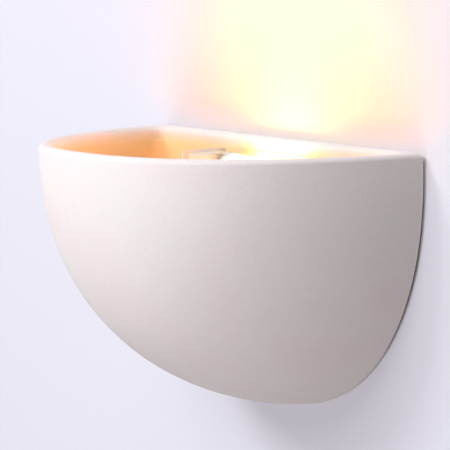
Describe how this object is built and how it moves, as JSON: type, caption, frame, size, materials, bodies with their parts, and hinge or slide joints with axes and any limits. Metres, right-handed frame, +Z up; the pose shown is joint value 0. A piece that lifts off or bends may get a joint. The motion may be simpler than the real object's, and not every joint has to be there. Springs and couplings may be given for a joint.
{
  "type": "wall uplighter",
  "caption": "Quarter-round white bisque wall uplighter with a flat back, open top, and a double-ended lamp on a hidden steel carrier.",
  "frame": {"origin": "middle between the two wall screws, on the wall plane at the strap's back face", "axes": "+Y into the wall, +X along the wall, +Z up through the open top"},
  "size_m": [0.25, 0.12, 0.13],
  "materials": {
    "bisque": "matte unglazed white bisque",
    "foam": "closed-cell foam",
    "zinc_steel": "zinc plated",
    "nickel": "nickel plated",
    "rubber": "moulded rubber",
    "white_coat": "white powder coat",
    "nylon": "natural nylon",
    "fibre": "red vulcanised fibre",
    "bright_aluminium": "brightened sheet",
    "steatite": "unglazed steatite",
    "brass": "plain brass",
    "spring_steel": "drawn wire",
    "opal": "opal glass",
    "cap_white": "heat-resistant moulding",
    "board": "white solder mask",
    "chip": "phosphor gel",
    "live_sleeve": "brown silicone sleeve",
    "neutral_sleeve": "blue silicone sleeve",
    "earth_sleeve": "green and yellow silicone sleeve"
  },
  "bodies": {
    "fixture": {"shade": "bisque", "wall_seal": "foam", "wall_strap": "zinc_steel", "strap_studs": "zinc_steel", "cable_grommet": "rubber", "lamp_carrier": "white_coat", "carrier_bush": "nylon", "fibre_washers": "fibre", "cap_nuts": "nickel", "reflector": "bright_aluminium", "reflector_rivets": "bright_aluminium", "fixed_lampholder": "steatite", "sprung_lampholder": "steatite", "holder_screws": "zinc_steel", "holder_nuts": "zinc_steel", "fixed_contact": "brass", "contact_spring": "spring_steel", "contact_strips": "brass", "terminal_block": "nylon", "terminal_clamps": "brass", "terminal_screws": "zinc_steel", "terminal_fixing_screw": "zinc_steel", "live_wire": "live_sleeve", "neutral_wire": "neutral_sleeve", "earth_wire": "earth_sleeve", "wire_ferrules": "nickel", "earth_tag": "nickel", "earth_screw": "brass"},
    "lamp": {"lamp_tube": "opal", "lamp_end_caps": "cap_white", "lamp_contacts": "nickel", "lamp_board": "board", "lamp_chips": "chip"},
    "contact": {"sprung_contact": "brass"}
  },
  "joints": [
    {"name": "lamp_slide", "type": "slide", "parent": "fixture", "child": "lamp", "axis": [1, 0, 0], "range_m": [0, 0.003]},
    {"name": "contact_slide", "type": "slide", "parent": "fixture", "child": "contact", "axis": [1, 0, 0], "range_m": [0, 0.003], "stiffness_N_per_m": 1500, "springref_m": -0.003, "deforming": ["contact_spring"]}
  ],
  "couplings": [
    {"joint": "contact_slide", "follows": "lamp_slide", "ratio": 1}
  ]
}
